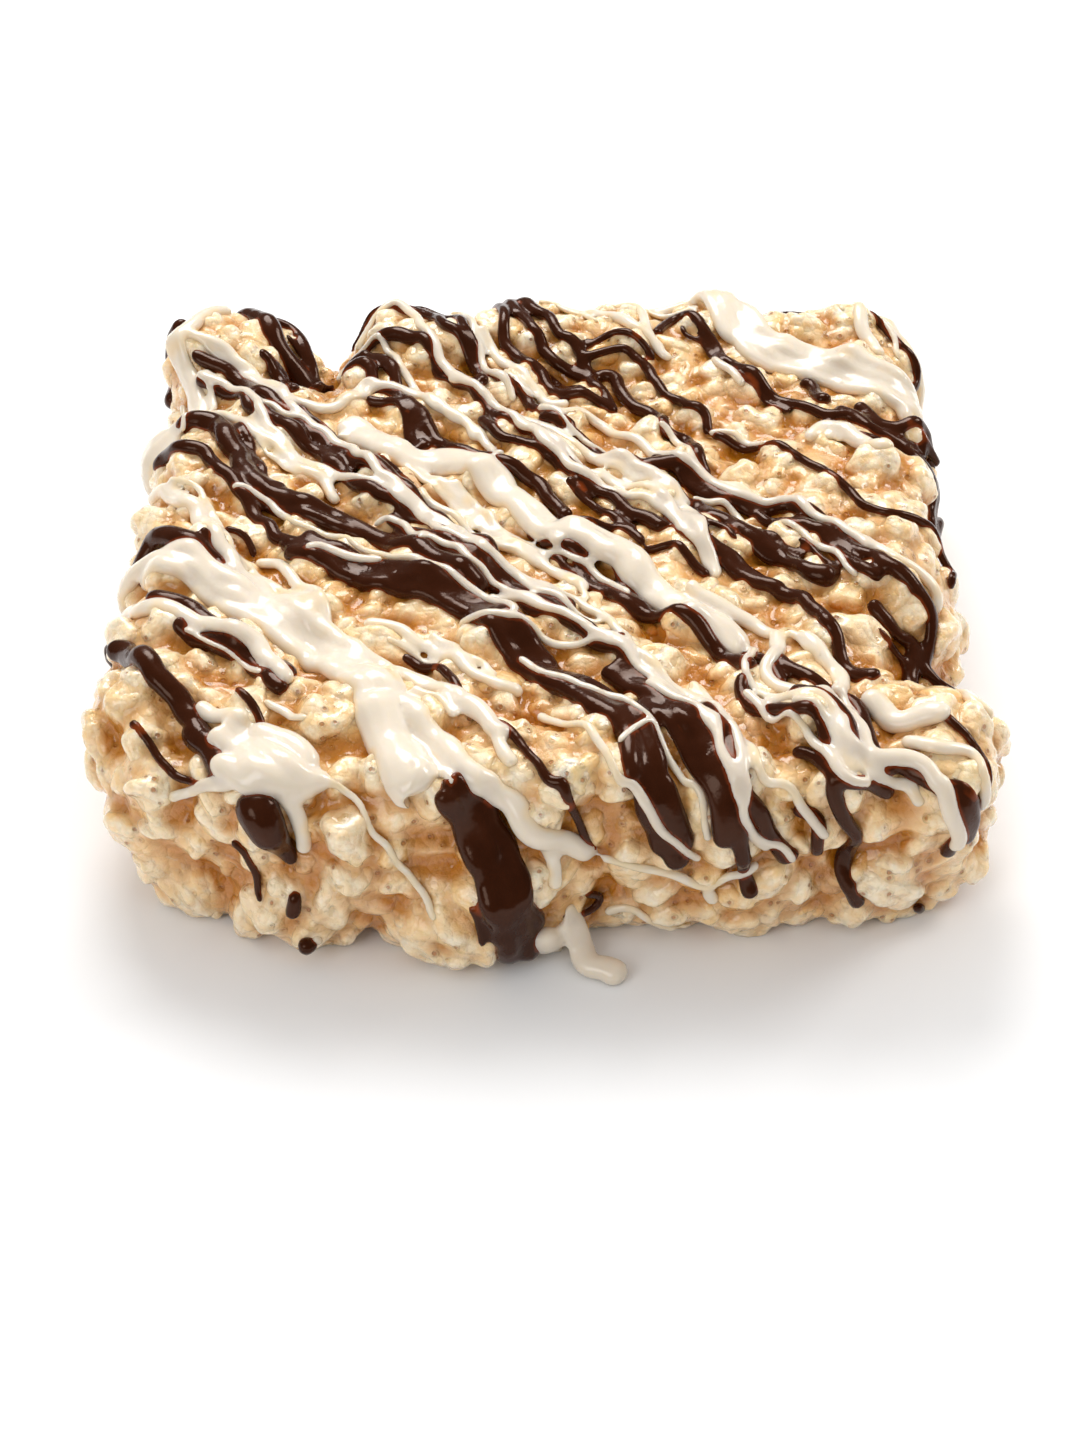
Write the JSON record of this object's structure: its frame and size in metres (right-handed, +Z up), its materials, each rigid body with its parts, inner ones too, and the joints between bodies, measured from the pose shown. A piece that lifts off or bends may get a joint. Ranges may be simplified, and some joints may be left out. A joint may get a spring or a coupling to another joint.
{
  "type": "puffed rice treat",
  "caption": "Square snack bar of glossy puffed rice grains bound with marshmallow, with dark and white chocolate drizzle run diagonally over the top and down one side",
  "frame": {"origin": "middle of the flat underside, on the surface that the treat rests on", "axes": "+Z up through the block's thickness; -Y is the side that the long drips run down; +X is to the right seen from that side"},
  "size_m": [0.0916, 0.0917, 0.0253],
  "materials": {
    "puffed_rice": "cream puffed rice under a thin glossy marshmallow film",
    "dark_chocolate": "glossy dark chocolate drizzle",
    "white_chocolate": "satin ivory white chocolate drizzle"
  },
  "bodies": {
    "root": {"treat": "puffed_rice"}
  },
  "joints": []
}
